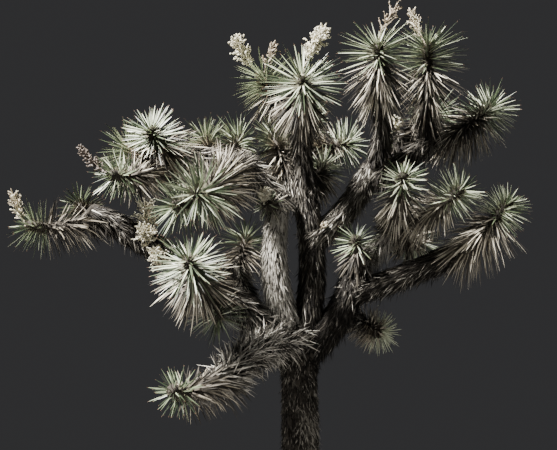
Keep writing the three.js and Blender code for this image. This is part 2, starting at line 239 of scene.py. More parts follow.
# Limbs: each a path with the radius of its wood
def trunkRadius(share, angle):
    buried = tree["buried"]
    height = share * (tree["forkHeight"] + buried) - buried
    flare = tree["footFlare"] * np.exp(-np.maximum(height, 0) / tree["footFlareHeight"])
    lobes = 1 + tree["lobeDepth"] * np.cos(tree["footLobes"] * angle)
    straight = tree["trunkRadius"] * (1 + tree["trunkTaper"] * (0.5 - share))
    whole = (straight + tree["swelling"] * smooth(share, *tree["swellingSpan"]) + flare * lobes) * mm
    narrowing = 1 - tree["closing"] * smooth(share, *tree["closingSpan"])
    return whole * narrowing - coatKinds["trunk"]["depth"] * mm


def boughRadius(length, girth, collar, depth):
    def radiusAt(share, angle):
        swell = 1 + collar * np.exp(-share * length / (tree["collarLength"] * mm))
        return between(*girth, share) * mm * swell - depth * mm
    return radiusAt


def shootRadius(length, skirt, rootRadius):
    def radiusAt(share, angle):
        filled = smooth((1 - share) * length, 0, skirt)
        whole = between(tree["headRadius"] * mm, rootRadius, filled)
        return whole - coatKinds["shoot"]["depth"] * mm * filled
    return radiusAt


foot = np.array((0, 0, -tree["buried"])) * mm
fork = np.array((*tree["forkLean"], tree["forkHeight"])) * mm
trunkPath = bowedPath(foot, fork, np.array(tree["trunkBow"]) * mm)
limbs = {"trunk": {"path": trunkPath, "radius": trunkRadius, "kind": "trunk"}}
for name, parent, at, tip, bow, girth in boughRows:
    start = limbs[parent]["path"]["at"](at)
    path = bowedPath(start, np.array(tip) * mm, np.array(bow) * mm)
    collar = tree["collar"] if parent == "trunk" or at < tipPlace else 0
    kind = next((kind for kind, names in coatOf.items() if name in names), "bough")
    radius = boughRadius(path["length"], girth, collar, coatKinds[kind]["depth"])
    limbs[name] = {"path": path, "radius": radius, "kind": kind, "girth": girth}

shoots = []
for number, (name, bough, tip, size, spike) in enumerate(headRows):
    start = limbs[bough]["path"]["at"](tipPlace)
    end = np.array(tip) * mm
    sag = tree["upturn"] * np.linalg.norm(end - start)
    path = bowedPath(start, end, (0, 0, -sag))
    skirt = min(tree["fullestSkirt"] * path["length"], tree["skirtLength"] * mm * size)
    radius = shootRadius(path["length"], skirt, tree["rootGirth"] * limbs[bough]["girth"][1] * mm)
    shoots.append({"name": name, "kind": "shoot", "number": number, "size": size, "spike": spike,
                   "path": path, "radius": radius, "skirt": skirt * skirtShares.get(name, 1)})
print("limbs and shoots set out:", len(limbs), len(shoots))

# What a leaf keeps clear of: balls along every limb and shoot, and marks that say whose space a point is in
room = {
    "markShares": (0.3, 0.5, 0.65, 0.8, 0.9, 1),
    "margin": 30 * mm,  # how far a leaf may reach past the middle between two shoots
    "ballSpacing": 0.045,
    "ballShares": (0.04, 0.98),
    "fewestBalls": 6,
    "atOnce": 4000,  # points measured together
}
marks = np.array([shoot["path"]["at"](np.array(room["markShares"])) for shoot in shoots])
carriers = {**limbs, **{shoot["name"]: shoot for shoot in shoots}}
owners, places, radii = [], [], []
for name, carrier in carriers.items():
    count = max(room["fewestBalls"], int(carrier["path"]["length"] / room["ballSpacing"]))
    share = np.linspace(*room["ballShares"], count)
    owners += [name] * count
    places.append(carrier["path"]["at"](share))
    radii.append(carrier["radius"](share, share * 0))
ballOwners, ballPlaces, ballRadii = np.array(owners), np.concatenate(places), np.concatenate(radii)


def depthInWood(points, leftOut):
    # how far each point is from the surface of the nearest limb, below nought inside it
    others = ballOwners != leftOut
    places, radii = ballPlaces[others], ballRadii[others]
    parts = np.array_split(points, 1 + len(points) // room["atOnce"])
    return np.concatenate([(np.linalg.norm(part[:, None] - places[None], axis=2) - radii).min(axis=1)
                           for part in parts])


def inOwnSpace(points, number):
    # whether each point is nearer to its own shoot than to any other, give or take the margin
    gaps = np.linalg.norm(points[:, None, None] - marks[None], axis=3).min(axis=2)
    own = gaps[:, number] - room["margin"]
    gaps[:, number] = np.inf
    return gaps.min(axis=1) >= own


# Blades: one closed leaf or bud, a unit long and wide, that the node tree sets out in thousands
def bladeObject(verts, faces, partAt=()):
    # corners keep their reach and faces their part; partAt: the reaches at which further parts begin
    mesh = bpy.data.meshes.new("blade")
    mesh.from_pydata(verts, [], faces)
    mesh.attributes.new("reach", "FLOAT", "POINT").data.foreach_set("value", [v[2] for v in verts])
    middles = [sum(verts[i][2] for i in face) / 3 for face in faces]
    parts = [sum(middle > edge for edge in partAt) for middle in middles]
    mesh.attributes.new("part", "INT", "FACE").data.foreach_set("value", parts)
    return addObject("blade", mesh)


def leafBlade(rings, partAt=()):
    # three-sided, with a point; rings: (reach, half width, thickness)
    verts = [place for reach, half, thick in rings for place in
             ((-half, 0.25 * thick, reach), (0, -thick, reach), (half, 0.25 * thick, reach))]
    faces, edges = [(0, 2, 1)], ((0, 1), (1, 2), (2, 0))
    last = len(verts) - 3
    for low in range(0, last, 3):
        high = low + 3
        for j, k in edges:
            faces += [(low + j, low + k, high + k), (low + j, high + k, high + j)]
    faces += [(last + j, last + k, len(verts)) for j, k in edges]
    return bladeObject([*verts, (0, 0, 1)], faces, partAt)


def budBlade(sides, rings):
    # round, with a pole at each end; rings: (reach, radius)
    verts = [(0, 0, 0)]
    for number, (reach, radius) in enumerate(rings):
        turns = [(side + number / 2) * 2 * math.pi / sides for side in range(sides)]
        verts += [(radius * math.cos(turn), radius * math.sin(turn), reach) for turn in turns]
    edges = [(j, (j + 1) % sides) for j in range(sides)]
    last = len(verts) - sides
    faces = [(0, 1 + k, 1 + j) for j, k in edges]
    for low in range(1, last, sides):
        high = low + sides
        for j, k in edges:
            faces += [(low + j, low + k, high + j), (low + k, high + k, high + j)]
    faces += [(last + j, last + k, len(verts)) for j, k in edges]
    return bladeObject([*verts, (0, 0, 1)], faces)


blades = {
    # the first part of both blades is the base, dark as painted shade near the head's core, the dead one's
    # also of its own dark brown; the living one's last part is its spine
    "living": leafBlade([(0, 0.5, 0.3), (0.2, 0.44, 0.5), (0.55, 0.38, 0.42), (0.93, 0.11, 0.16)],
                        partAt=(0.15, 0.94)),
    "dead": leafBlade([(0, 0.5, 0.25), (0.34, 0.44, 0.32), (0.8, 0.24, 0.22)], partAt=(0.25,)),
    "coat": leafBlade([(0, 0.5, 0.3), (0.6, 0.36, 0.3)]),
    "stick": leafBlade([(0, 0.5, 0.8), (0.6, 0.4, 0.6)]),
    "bud": budBlade(5, [(0.14, 0.28), (0.45, 0.5), (0.82, 0.32)]),
}


# Nodes
def port(sockets, identifier):
    # a socket by its identifier, for nodes with several of one name
    return next(socket for socket in sockets if socket.identifier == identifier)


def fillNode(group, node, inputs):
    # by name, number or identifier; an output is linked to the input, anything else is set on it
    for key, value in inputs.items():
        plain = isinstance(key, int) or key in node.inputs
        socket = node.inputs[key] if plain else port(node.inputs, key)
        if isinstance(value, bpy.types.NodeSocket):
            group.links.new(value, socket)
        else:
            socket.default_value = value


def addNode(group, kind, inputs=None, **settings):
    # gives the new node's outputs
    node = group.nodes.new(kind)
    for name, value in settings.items():
        setattr(node, name, value)
    fillNode(group, node, inputs or {})
    return node.outputs


def addMath(group, operation, *numbers):
    return addNode(group, "ShaderNodeMath", dict(enumerate(numbers)), operation=operation)[0]


# Fields on the points that leaves stand on, and on the blade itself
fieldKinds = {"aim": "FLOAT_VECTOR", "face": "FLOAT_VECTOR", "bend": "FLOAT_VECTOR", "width": "FLOAT",
              "length": "FLOAT", "tone": "INT"}
allKinds = {**fieldKinds, "reach": "FLOAT", "part": "INT"}


def namedField(group, name):
    named = addNode(group, "GeometryNodeInputNamedAttribute", {"Name": name}, data_type=allKinds[name])
    return named["Attribute"]


def geometryTree(name, sockets):
    # from geometry to geometry; sockets: the names and kinds of further inputs
    group = bpy.data.node_groups.new(name, "GeometryNodeTree")
    for label, kind in {"Geometry": "Geometry", **sockets}.items():
        group.interface.new_socket(label, in_out="INPUT", socket_type=f"NodeSocket{kind}")
    group.interface.new_socket("Geometry", in_out="OUTPUT", socket_type="NodeSocketGeometry")
    return group, addNode(group, "NodeGroupInput")


def bladeTree(name, looks):
    # sets blades out on points; looks: for the fields tone and part, a material for each number
    group, entry = geometryTree(name, {"Blade": "Object", "Thickness": "Float", "Bend Power": "Float",
                                       "Roll": "Float", "Seed": "Int"})
    blade = addNode(group, "GeometryNodeObjectInfo", {"Object": entry["Blade"]})
    # a blade stands along its aim, with its flat side towards its face, rolled a little at random
    stands = {"Primary Axis": namedField(group, "aim"), "Secondary Axis": namedField(group, "face")}
    turn = addNode(group, "FunctionNodeAxesToRotation", stands, primary_axis="Z", secondary_axis="Y")
    span = {"Min_001": addMath(group, "MULTIPLY", entry["Roll"], -1), "Max_001": entry["Roll"]}
    roll = addNode(group, "FunctionNodeRandomValue", {**span, "Seed": entry["Seed"]}, data_type="FLOAT")
    rollBy = addNode(group, "FunctionNodeAxisAngleToRotation",
                     {"Axis": (0, 0, 1), "Angle": port(roll, "Value_001")})
    both = {"Rotation": turn["Rotation"], "Rotate By": rollBy["Rotation"]}
    rolled = addNode(group, "FunctionNodeRotateRotation", both, rotation_space="LOCAL")
    width = namedField(group, "width")
    thick = addMath(group, "MULTIPLY", width, entry["Thickness"])
    size = addNode(group, "ShaderNodeCombineXYZ", {"X": width, "Y": thick, "Z": namedField(group, "length")})
    setOut = addNode(group, "GeometryNodeInstanceOnPoints",
                     {"Points": entry["Geometry"], "Instance": blade["Geometry"],
                      "Rotation": rolled["Rotation"], "Scale": size["Vector"]})
    real = addNode(group, "GeometryNodeRealizeInstances", {"Geometry": setOut["Instances"]})
    # then it bends, the more the further along it
    power = addMath(group, "POWER", namedField(group, "reach"), entry["Bend Power"])
    bend = addNode(group, "ShaderNodeVectorMath", {0: namedField(group, "bend"), "Scale": power},
                   operation="SCALE")
    bent = addNode(group, "GeometryNodeSetPosition", {"Geometry": real["Geometry"], "Offset": bend["Vector"]})
    shown = bent["Geometry"]
    for field, materials in looks.items():
        for number, material in materials.items():
            same = addNode(group, "FunctionNodeCompare", {"A_INT": namedField(group, field), "B_INT": number},
                           data_type="INT", operation="EQUAL")
            paint = {"Geometry": shown, "Selection": same["Result"], "Material": material}
            shown = addNode(group, "GeometryNodeSetMaterial", paint)["Geometry"]
    addNode(group, "NodeGroupOutput", {"Geometry": shown})
    return group


def runNodes(piece, group, values):
    # the node tree's result becomes the piece's own mesh; values go by the names of the tree's inputs
    modifier = piece.modifiers.new(group.name, "NODES")
    modifier.node_group = group
    for item in group.interface.items_tree:
        if item.in_out == "INPUT" and item.name in values:
            modifier[item.identifier] = values[item.name]
    bpy.context.view_layer.update()
    evaluated = piece.evaluated_get(bpy.context.evaluated_depsgraph_get())
    mesh = bpy.data.meshes.new_from_object(evaluated)
    piece.modifiers.clear()
    piece.data = mesh
    for extra in [a.name for a in mesh.attributes if a.name in allKinds]:
        mesh.attributes.remove(mesh.attributes[extra])
    print(piece.name, triangles(piece), "triangles")


def triangles(piece):
    return sum(len(polygon.vertices) - 2 for polygon in piece.data.polygons)


# Fields: for each leaf its root and what fieldKinds names
def asField(root, *values):
    return {"root": root, **dict(zip(fieldKinds, values))}


def joinFields(fields):
    return {key: np.concatenate([field[key] for field in fields]) for key in fields[0]}


def kept(field, keep):
    return {key: values[keep] for key, values in field.items()}


def growBlades(name, field, group, settings):
    mesh = bpy.data.meshes.new(name)
    mesh.vertices.add(len(field["root"]))
    mesh.vertices.foreach_set("co", field["root"].astype(np.float32).ravel())
    for key, kind in fieldKinds.items():
        values = field[key].astype(np.int32 if kind == "INT" else np.float32).ravel()
        entry = "vector" if kind == "FLOAT_VECTOR" else "value"
        mesh.attributes.new(key, kind, "POINT").data.foreach_set(entry, values)
    piece = addObject(name, mesh)
    runNodes(piece, group, settings)
    return piece


def tilted(along, outward, angle):
    return along * column(np.cos(angle)) + outward * column(np.sin(angle))


def lifted(aim, outward, lowest):
    # turned outward where it would run into the wood
    rise = np.sum(aim * outward, axis=1)
    return unit(aim + outward * column(np.maximum(0, lowest - rise)))


rng = np.random.default_rng(11)
living, dead, coats, sticks, buds = [], [], [], [], []


# The leaf rule: which way a leaf points that is rooted some way back along the skirt
def leafAim(along, outward, backShare, sway):
    opening = np.radians(tree["tipOpening"] + tree["skirtOpening"] * backShare ** tree["openingPower"]) + sway
    aim = tilted(along, outward, opening)
    aim[:, 2] -= tree["skirtDroop"] * backShare
    return lifted(aim, outward, tree["lowestRise"])


headLeaves = {
    "count": 440,  # leaves on a full head, living and dead
    "countPower": 1.2,  # how the number goes with a head's size
    "crowding": 1.15,  # above 1 the youngest stand closer
    "livingShare": 0.3,  # the share of the skirt over which leaves still live
    "livingEdge": 0.06,  # how much that edge wanders
    "rounding": 50 * mm,  # the shoot's tip closes over this length
    "rooted": 0.85,  # where on the wood's radius a leaf starts
    "shortest": 0.7,
    "longest": 1.1,
    "lengthPower": 0.6,  # below 1 long ones are the more common
    "youngest": 0.6,  # the length of the innermost
    "youngShare": 0.03,
    "width": 12.5 * mm,
    "narrowest": 0.8,
    "wider": 0.35,  # at random
    "droop": 0.03,
    "deadDroop": 0.07,  # more for the dead
    "bend": 0.025,
    "deadBend": 0.015,
    "turn": 0.3,  # radians
    "sway": 0.34,
    "tones": 5,
    "tonePower": 0.55,  # below 1 the darkest and the lightest tones are the more common, as painted sun and shade
    "trials": (1, 0.8, 0.62),  # lengths that are tried until a leaf fits
    "clearance": 4 * mm,
}
# Heads unlike the rest: the length of the living and of the dead leaves and the number of both, beside the
# rule's, and then how many tones lighter the living and the dead are painted: painted light on heads that lie
# in shade, painted shade where the number is below nought
headLooks = {
    "head_low_left": (0.66, 0.78, 0.6, -1.0, -1.3),
    "head_left_end": (0.9, 0.95, 0.8, -0.6, -0.8),
    "head_left_crook": (0.85, 0.9, 0.8, -1.0, -1.5),
    "head_left_front": (0.9, 1.05, 0.95, 0, 0),
    "head_left_under": (1, 1, 1, -0.8, -1.0),
    "head_left_back": (0.95, 1, 0.8, -0.6, -0.6),
    "head_upper_left_front": (0.8, 1.3, 1, -0.2, 0),
    "head_upper_left_far": (1.2, 1.2, 1.2, 1.0, 0.8),
    "head_upper_left_low": (0.82, 1.05, 0.9, 0, 0),
    "head_top_front": (1.12, 1.0, 0.8, 0, -0.5),
    "head_top_left": (1, 1, 1, 0.8, 0.3),
    "head_right_top_front": (1.08, 1.15, 0.8, 0.2, 0.6),
    "head_right_top": (1.08, 1.15, 1, 0.4, 0.3),
    "head_right_side": (0.86, 1.05, 1.1, 0.7, 1.4),
    "head_right_reach": (0.7, 1.05, 1.15, 0.9, 1.4),
    "head_right_back": (1, 1, 1, -1.2, -2.5),
    "head_right_fork_bud": (1, 1, 1, -0.8, -1.5),
    "head_right_low": (0.92, 0.92, 1.1, 4, 2.5),
    "head_right_fork": (0.85, 0.9, 0.65, -0.3, -2.5),
    "head_mid_right_front": (0.78, 1.05, 0.9, 0.5, 0.8),
    "head_mid_right_side": (0.84, 1.05, 1.1, 1.0, 1.8),
    "head_mid_right_under": (1, 1, 1, 0.5, 0.5),
    "head_behind_stem": (1, 1, 1, 0.8, 0.8),
}


def headField(shoot):
    look, path, size = headLeaves, shoot["path"], shoot["size"]
    *ownLength, fullness, livingPaintedLight, deadPaintedLight = headLooks.get(shoot["name"], (1, 1, 1, 0, 0))
    count = int(look["count"] * fullness * size ** look["countPower"])
    number = np.arange(count)
    back = ((number + 0.5) / count) ** look["crowding"]
    share = 1 - back * shoot["skirt"] / path["length"]
    angle = number * goldenAngle + look["turn"] * rng.normal(0, 1, count)
    outward, along = around(path, share, angle)
    rounded = np.minimum(1, np.sqrt(back * shoot["skirt"] / look["rounding"]))
    radius = shoot["radius"](share, angle) * rounded
    root = path["at"](share) + outward * column(radius * look["rooted"])
    aim = leafAim(along, outward, back, look["sway"] * (rng.random(count) - 0.5))
    young = between(look["youngest"], 1, smooth(back, 0, look["youngShare"]))
    length = tree["leafLength"] * mm * size * young * np.where(back < look["livingShare"], *ownLength)
    length *= between(look["shortest"], look["longest"], rng.random(count) ** look["lengthPower"])
    edge = back + look["livingEdge"] * (rng.random(count) - 0.5)
    dead = smooth(edge, look["livingShare"], look["livingShare"] + 0.02)
    width = look["width"] * (look["narrowest"] + look["wider"] * rng.random(count))
    width *= (1 + 0.1 * dead) * min(1, size + 0.25)
    droop = length * (look["droop"] + look["deadDroop"] * dead * rng.random(count))
    bend = rng.normal(0, 1, (count, 3)) * column(length * (look["bend"] + look["deadBend"] * dead))
    bend[:, 2] -= droop
    spread = 2 * rng.random(count) - 1
    tone = look["tones"] * (0.5 + 0.5 * np.sign(spread) * np.abs(spread) ** look["tonePower"])
    # painted light and shade: all of a head's living leaves, and all its dead ones, shifted by the head's own
    # tones
    tone += np.where(dead < 0.5, livingPaintedLight, deadPaintedLight)
    tone = np.clip(np.floor(tone), 0, look["tones"] - 1)
    # a leaf is full length where there is room, shorter where there isn't, and left out where none fits
    fits, fitted = np.zeros(count, bool), length
    for part in look["trials"]:
        clear = np.ones(count, bool)
        for reach in (0.4, 0.7, 1.0):
            point = root + aim * column(length * part * reach) + bend * reach**2
            clear &= inOwnSpace(point, shoot["number"]) | (reach < 0.5)
            clear &= depthInWood(point, shoot["name"]) > look["clearance"]
        fitted = np.where(clear & ~fits, length * part, fitted)
        fits |= clear
    field = asField(root, aim, along, bend, width, fitted, tone)
    return kept(field, fits & (dead < 0.5)), kept(field, fits & (dead >= 0.5))


# The coat's leaves lie back towards the root and hang a little. Tones run from dark to light, partly the
# leaves' own and partly painted sun and painted shade.
coatLook = {
    "turn": 0.5,  # radians
    "rooted": 0.96,
    "liePower": 1.5,  # above 1 leaves that lie close are the more common
    "strayLift": 0.35,  # radians more for strays
    "strayMore": 0.5,  # and up to this at random
    "strayHang": 1.4,
    "lowestRise": 0.1,
    "bend": 0.03,
    "droop": 0.05,
    "width": 9 * mm,
    "widthRange": 6 * mm,
    "plainSpacing": 17,  # leaves this far apart are that wide
    "strayWidth": 0.8,
    "otherTone": 2.0,
    "mixture": {"spiky": 4.0, "shaggy": 2.6, "swept": 2.6},  # how far tones stray from the limb's own
    "otherMixture": 1.7,
    "lightFlecks": 0.12,  # the share of leaves that are lighter by the next number, at random, partly as painted highlights
    "fleckTones": 3,
    "rootDepth": -12 * mm,  # how far inside another limb a leaf may start, and run
    "leafDepth": -16 * mm,
    "overGround": 15 * mm,
    "wearsOff": (0.0, 0.28),  # heights in metres between which the trunk's coat gets full
    "paintedSunTones": 3.4,  # tones of painted sunlight on the trunk low down on its right, and the lightest tone it may take at its foot
    "footHeights": (0.4, 0.8),
}
# Each limb's coat tone is painted light and shade: high numbers paint light on a limb, low ones paint shade
# on it
limbPaintedLight = {
    "trunk": 0.2, "stem_main": 0.6, "stem_left": 5.4, "bough_low_left": 3.8, "bough_left_reach": 0.6,
    "bough_right": -0.8, "bough_mid_right": 4.2, "bough_inner_left": 2.8, "bough_right_reach": 0.5,
    "bough_upper_right": 2.6, "bough_right_top": 0.6, "bough_right_top_front": 0.2, "bough_top": 0.8,
    "bough_right_top_back": -0.8, "head_right_fork_bud": -0.5, "head_right_back": -0.5,
    "head_right_top_front": 0.4, "head_right_top": 0.6, "head_right_fork": -0.5,
}
coatColours = [(0.016, 0.014, 0.012), (0.034, 0.03, 0.025), (0.065, 0.059, 0.049), (0.125, 0.115, 0.097),
               (0.21, 0.196, 0.168), (0.34, 0.322, 0.28), (0.52, 0.497, 0.44)]


def coatField(name, limb, lastShare):
    look, kind, path = coatLook, coatKinds[limb["kind"]], limb["path"]
    meanRadius = float(np.mean(limb["radius"](np.linspace(0, lastShare, 9), np.zeros(9))))
    count = int(2 * math.pi * meanRadius * path["length"] * lastShare / (kind["spacing"] * mm) ** 2)
    number = np.arange(count)
    share = lastShare * (number + rng.random(count)) / count
    angle = number * goldenAngle + look["turn"] * (rng.random(count) - 0.5)
    outward, along = around(path, share, angle)
    root = path["at"](share) + outward * column(limb["radius"](share, angle) * look["rooted"])
    lie = between(*kind["lie"], rng.random(count) ** look["liePower"])
    # strays are more common underneath
    stray = rng.random(count) < kind["strays"] * np.clip(0.7 - outward[:, 2], 0.1, 1.3)
    lie = np.where(stray, lie + look["strayLift"] + look["strayMore"] * rng.random(count), lie)
    sideways = np.cross(along, outward) * column(rng.normal(0, kind["sway"], count))
    aim = tilted(-along, outward, lie) + sideways
    aim[:, 2] -= kind["hang"] * np.where(stray, look["strayHang"], 0.5 + 0.5 * rng.random(count))
    aim = lifted(unit(aim), outward, look["lowestRise"])
    length = between(*kind["length"], rng.random(count)) * mm
    bend = rng.normal(0, look["bend"], (count, 3)) * column(length)
    bend[:, 2] -= look["droop"] * length
    width = (look["width"] + look["widthRange"] * rng.random(count)) * np.where(stray, look["strayWidth"], 1)
    width *= kind["spacing"] / look["plainSpacing"]
    mixture = look["mixture"].get(limb["kind"], look["otherMixture"])
    # the limb's painted light and shade, then tones that differ at random
    tone = limbPaintedLight.get(name, look["otherTone"]) + rng.normal(0, mixture, count)
    tone += look["fleckTones"] * (rng.random(count) < look["lightFlecks"])
    if name == "trunk":  # painted sunlight low down on its right, and a lower cap on its tone at the foot
        tone += look["paintedSunTones"] * smooth(-root[:, 2], -1.4, -0.8) * smooth(outward[:, 0], -0.3, 0.4)
        tone = np.minimum(tone, look["paintedSunTones"] + 2 * smooth(root[:, 2], *look["footHeights"]))
    tone = np.clip(np.rint(tone), 0, len(coatColours) - 1)
    # no leaf is rooted inside another limb, runs through one, or reaches the ground
    clear = depthInWood(root, name) > look["rootDepth"]
    clear &= depthInWood(root + aim * column(0.7 * length), name) > look["leafDepth"]
    clear &= (root + aim * column(length))[:, 2] > look["overGround"]
    if name == "trunk":
        clear &= rng.random(count) < smooth(root[:, 2], *look["wearsOff"])
    return kept(asField(root, aim, outward, bend, width, length, tone), clear)


# Flowers and seed: a stalk out of the tip, side branches round it from some share of it on, and buds along
# those. Lengths are in millimetres: of a branch, of a bud and across it, and across a stick.
flowerKinds = table("from, branches, branch, buds, bud, open, stick, tones, stickTone", {
    "fresh": (0.42, 46, 112, 8, (29, 17), 0.95, 5, (0, 1), 1),
    "dry": (0.32, 15, 125, 3, (30, 15), 0.75, 6, (2, 3), 2),
    "old": (0.32, 30, 66, 4, (28, 16), 0.9, 6, (4, 4), 4),
    "feathery": (0.32, 34, 90, 5, (26, 10), 0.85, 5, (1, 2), 1),
    "fluffy": (0.3, 46, 130, 7, (32, 12), 1.25, 4, (0, 1), 0),
    "knob": (0.3, 20, 42, 4, (26, 17), 1.2, 5, (1, 2), 1),
})
flowerColours = [(0.62, 0.60, 0.48), (0.48, 0.45, 0.34), (0.30, 0.25, 0.18), (0.17, 0.13, 0.09),
                 (0.08, 0.06, 0.045)]
spikeLook = {
    "bow": 0.05,
    "pieces": 14,
    "stalkWidth": 24 * mm,
    "stalkTaper": 0.6,
    "stickScale": 1.6,  # at a branch's root
    "overlap": 1.1,
    "fullReach": 600 * mm,  # branches are shorter on shorter spikes
    "budLean": 0.62,
    "sunk": 45 * mm,  # how deep in the head a spike starts
    "reached": 0.88,  # where the stalk ends, with buds past it
}


def stickField(root, run, width, tone):
    each = np.ones(len(root))
    length = np.linalg.norm(run, axis=1) * spikeLook["overlap"]
    return asField(root, unit(run), np.tile((0.3, 0.2, 1.0), (len(root), 1)), 0 * run, width * each, length,
                   tone * each)


def addFlowers(start, end, kindName):
    look, kind = spikeLook, flowerKinds[kindName]
    tones = kind["tones"]
    reach = np.linalg.norm(end - start)
    bow = np.cross(end - start, (0.3, 1, 0.2))
    path = bowedPath(start, end, look["bow"] * reach * bow / np.linalg.norm(bow))
    share = np.linspace(0, 1, look["pieces"] + 1)
    points = path["at"](share)
    stalkWidth = look["stalkWidth"] * (1 - look["stalkTaper"] * share[:-1])
    sticks.append(stickField(points[:-1], points[1:] - points[:-1], stalkWidth, tones[1]))
    count = kind["branches"]
    number = np.arange(count)
    place = between(kind["from"], 1, ((number + 0.5) / count) ** 0.9)
    angle = number * goldenAngle + rng.normal(0, 0.2, count)
    outward, along = around(path, place, angle)
    opening = kind["open"] * (1.15 - 0.65 * place) + rng.normal(0, 0.12, count)
    aim = unit(tilted(along, outward, opening) + rng.normal(0, 0.1, (count, 3)))
    full = np.interp((place - kind["from"]) / (1 - kind["from"]), [0, 0.3, 0.65, 1], [0.5, 0.95, 1, 0.55])
    full *= min(1, 0.35 + reach / look["fullReach"])
    branchLength = kind["branch"] * mm * full * (0.75 + 0.4 * rng.random(count))
    root = path["at"](place)
    stickWidth = kind["stick"] * mm * look["stickScale"]
    sticks.append(stickField(root, aim * column(branchLength), stickWidth, kind["stickTone"]))
    # buds stand along each branch, all ways round it
    branch = np.repeat(number, kind["buds"])
    total = len(branch)
    along = np.tile((np.arange(kind["buds"]) + 0.8) / kind["buds"], count) + rng.normal(0, 0.05, total)
    lean = unit(aim[branch] + rng.normal(0, look["budLean"], (total, 3)))
    budRoot = root[branch] + aim[branch] * column(branchLength[branch] * np.clip(along, 0.2, 1.02))
    long, wide = (measure * mm for measure in kind["bud"])
    size = 0.7 + 0.5 * rng.random(total)
    face = rng.normal(0, 1, (total, 3))
    bend = rng.normal(0, 0.12, (total, 3)) * long
    tone = np.where(rng.random(total) < 0.5, tones[0], tones[1])
    buds.append(asField(budRoot, lean, face, bend, wide * size, long * size, tone))


# Spikes and tufts that stand on the wood itself: limb, place on it, reach, kind
woodFlowers = [
    ("bough_left_reach", 0.34, (-100, -210, 0), "fluffy"),
    ("bough_left_reach", 0.46, (-80, -190, 110), "fluffy"),
    ("bough_left_reach", 0.5, (-50, -120, 290), "fluffy"),
    ("head_top_left", 0.93, (80, 50, 330), "dry"),
    ("bough_upper_right", 0.1, (40, -135, 60), "knob"),
    ("stem_left", 0.9, (-60, -130, 50), "knob"),
]
shortestBare = 0.12  # the share of a shoot below its skirt from which on it has a coat
boughEnd = 0.98  # where a bough's coat ends

for shoot in shoots:
    young, old = headField(shoot)
    living.append(young)
    dead.append(old)
    bare = 1 - shoot["skirt"] / shoot["path"]["length"]
    if bare > shortestBare:
        coats.append(coatField(shoot["name"], shoot, bare))
    if shoot["spike"]:
        reach, kindName = shoot["spike"]
        end = shoot["path"]["at"](1.0)
        start = end - unit(np.array(reach, float)) * spikeLook["sunk"]
        addFlowers(start, end + spikeLook["reached"] * np.array(reach) * mm, kindName)
for name, limb in limbs.items():
    coats.append(coatField(name, limb, 1.0 if name == "trunk" else boughEnd))
for limbName, place, reach, kindName in woodFlowers:
    start = carriers[limbName]["path"]["at"](place)
    addFlowers(start, start + np.array(reach) * mm, kindName)
print("leaves, coat and buds set out:",
      *(sum(len(field["root"]) for field in fields) for fields in (living, dead, coats, buds)))

# Materials: each a colour that wanders between two, over the object, with its own roughness and relief
surface = {
    "patchDetail": 3,
    "grainDetail": 4,
    "patchPart": 0.55,  # of the wandering, and the rest is grain
    "grainPart": 0.45,
    "wanderFrom": 0.32,
    "wanderTo": 0.68,
    "bumpStrength": 0.6,
}


def plantMaterial(name, low, high, patch, grain, rough, relief, shine=0.5, stretch=(1, 1, 1)):
    # patch and grain: how many to the metre; relief in metres
    material = bpy.data.materials.new(name)
    material.use_nodes = True
    group = material.node_tree
    place = addNode(group, "ShaderNodeTexCoord")["Object"]
    place = addNode(group, "ShaderNodeMapping", {"Vector": place, "Scale": stretch})["Vector"]
    patches, grains = (
        addNode(group, "ShaderNodeTexNoise", {"Vector": place, "Scale": scale, "Detail": detail})["Fac"]
        for scale, detail in ((patch, surface["patchDetail"]), (grain, surface["grainDetail"])))
    grainPart = addMath(group, "MULTIPLY", grains, surface["grainPart"])
    both = addMath(group, "MULTIPLY_ADD", patches, surface["patchPart"], grainPart)
    wander = {"From Min": surface["wanderFrom"], "From Max": surface["wanderTo"]}
    part = addNode(group, "ShaderNodeMapRange", {"Value": both, **wander})["Result"]
    mixed = {"Factor_Float": part, "A_Color": (*low, 1), "B_Color": (*high, 1)}
    colour = addNode(group, "ShaderNodeMix", mixed, data_type="RGBA")
    span = {"To Min": rough[0], "To Max": rough[1]}
    roughness = addNode(group, "ShaderNodeMapRange", {"Value": grains, **span})
    raised = {"Height": grains, "Distance": relief, "Strength": surface["bumpStrength"]}
    bump = addNode(group, "ShaderNodeBump", raised)
    fillNode(group, group.nodes["Principled BSDF"], {
        "Base Color": port(colour, "Result_Color"), "Roughness": roughness["Result"],
        "Normal": bump["Normal"], "Specular IOR Level": shine})
    return material


def materialSet(name, colours, darker, lighter, *look, **more):
    # a material for each tone, from a darker shade of its colour to a lighter one
    shades = [[tuple(min(1.0, c * by) for c in colour) for by in (darker, lighter)] for colour in colours]
    return {number: plantMaterial(f"{name}_{number}", low, high, *look, **more)
            for number, (low, high) in enumerate(shades)}


# five tones of each leaf colour, from near black to pale: partly leaves that differ at random, partly painted
# sun and painted shade
leafColours = [(0.022, 0.032, 0.016), (0.048, 0.066, 0.034), (0.10, 0.128, 0.072), (0.22, 0.262, 0.165),
               (0.50, 0.545, 0.40)]
deadColours = [(0.017, 0.0145, 0.0105), (0.045, 0.038, 0.0285), (0.11, 0.097, 0.074), (0.26, 0.233, 0.18),
               (0.56, 0.517, 0.42)]
leafMaterials = materialSet("leaf", leafColours, 0.78, 1.15, 6, 90, (0.3, 0.5), 0.0006)
deadMaterials = materialSet("dead_leaf", deadColours, 0.62, 1.12, 7, 100, (0.6, 0.85), 0.0008, shine=0.25)
coatMaterials = materialSet("coat_leaf", coatColours, 0.6, 1.12, 7, 100, (0.65, 0.9), 0.0008, shine=0.15)
flowerMaterials = materialSet("flower", flowerColours, 0.75, 1.12, 15, 140, (0.5, 0.75), 0.0008)
